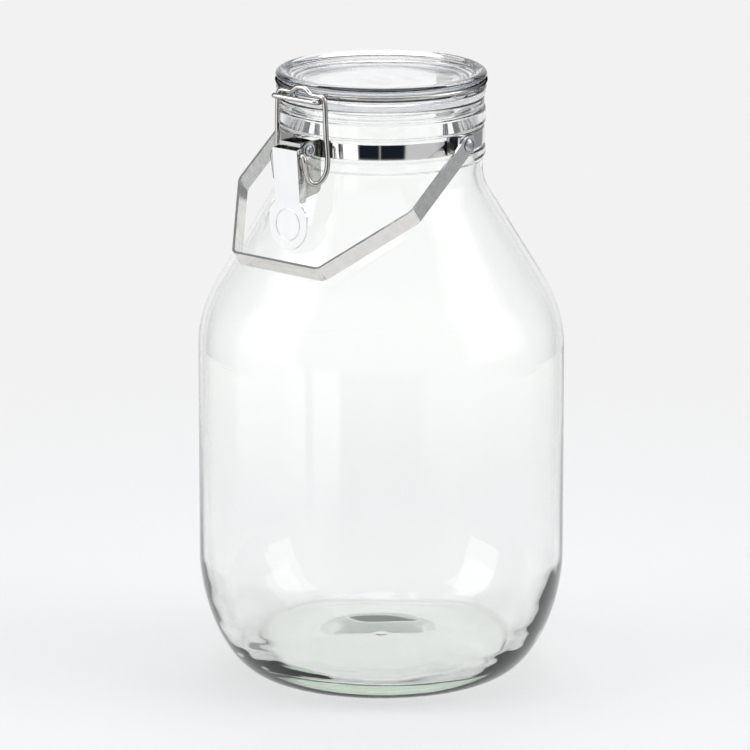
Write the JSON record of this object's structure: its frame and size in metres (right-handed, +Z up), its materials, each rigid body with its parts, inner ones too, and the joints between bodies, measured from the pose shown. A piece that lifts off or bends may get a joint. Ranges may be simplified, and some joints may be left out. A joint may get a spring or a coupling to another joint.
{
  "type": "swing-top storage jar",
  "caption": "Large clear glass storage jar with a round glass lid, a soft seal ring, a polished swing-top clamp on a neck band, and a flat strap handle to carry it by.",
  "frame": {"origin": "middle of the jar's base, on the plane that it stands on", "axes": "+Z up along the jar's axis; the clamp is at -Y, the lid's hinge at +Y, the handle's pivots at +X and -X"},
  "size_m": [0.163, 0.163, 0.2738],
  "materials": {
    "clear_glass": "clear, very slightly green, polished",
    "clear_silicone": "translucent, satin",
    "polished_steel": "mirror polished stainless steel",
    "bright_wire": "bright drawn stainless wire",
    "strap_steel": "satin rolled stainless strap"
  },
  "bodies": {
    "jar": {"jar_glass": "clear_glass", "neck_band": "polished_steel", "clamp_bracket": "polished_steel", "hinge_bracket": "polished_steel", "handle_lug_left": "polished_steel", "handle_lug_right": "polished_steel", "handle_rivet_left": "polished_steel", "handle_rivet_right": "polished_steel", "lever_rivet_left": "polished_steel", "lever_rivet_right": "polished_steel"},
    "lid": {"lid_glass": "clear_glass", "lid_gasket": "clear_silicone", "lid_ring_wire": "bright_wire"},
    "lever": {"clamp_lever": "polished_steel"},
    "latch": {"latch_wire": "bright_wire"},
    "handle": {"carry_handle": "strap_steel"}
  },
  "joints": [
    {"name": "lid_hinge", "type": "hinge", "parent": "jar", "child": "lid", "pos_m": [0, 0.051, 0.269], "axis": [-1, 0, 0], "range_deg": [0, 110]},
    {"name": "lever_hinge", "type": "hinge", "parent": "jar", "child": "lever", "pos_m": [0, -0.0551, 0.246], "axis": [-1, 0, 0], "range_deg": [0, 90]},
    {"name": "latch_hinge", "type": "hinge", "parent": "lever", "child": "latch", "pos_m": [0, -0.0605, 0.2444], "axis": [-1, 0, 0], "range_deg": [-95, 0]},
    {"name": "handle_hinge", "type": "hinge", "parent": "jar", "child": "handle", "pos_m": [0, 0, 0.246], "axis": [-1, 0, 0], "range_deg": [0, 254]}
  ],
  "couplings": [
    {"joint": "latch_hinge", "follows": "lever_hinge", "ratio": -1.04}
  ]
}
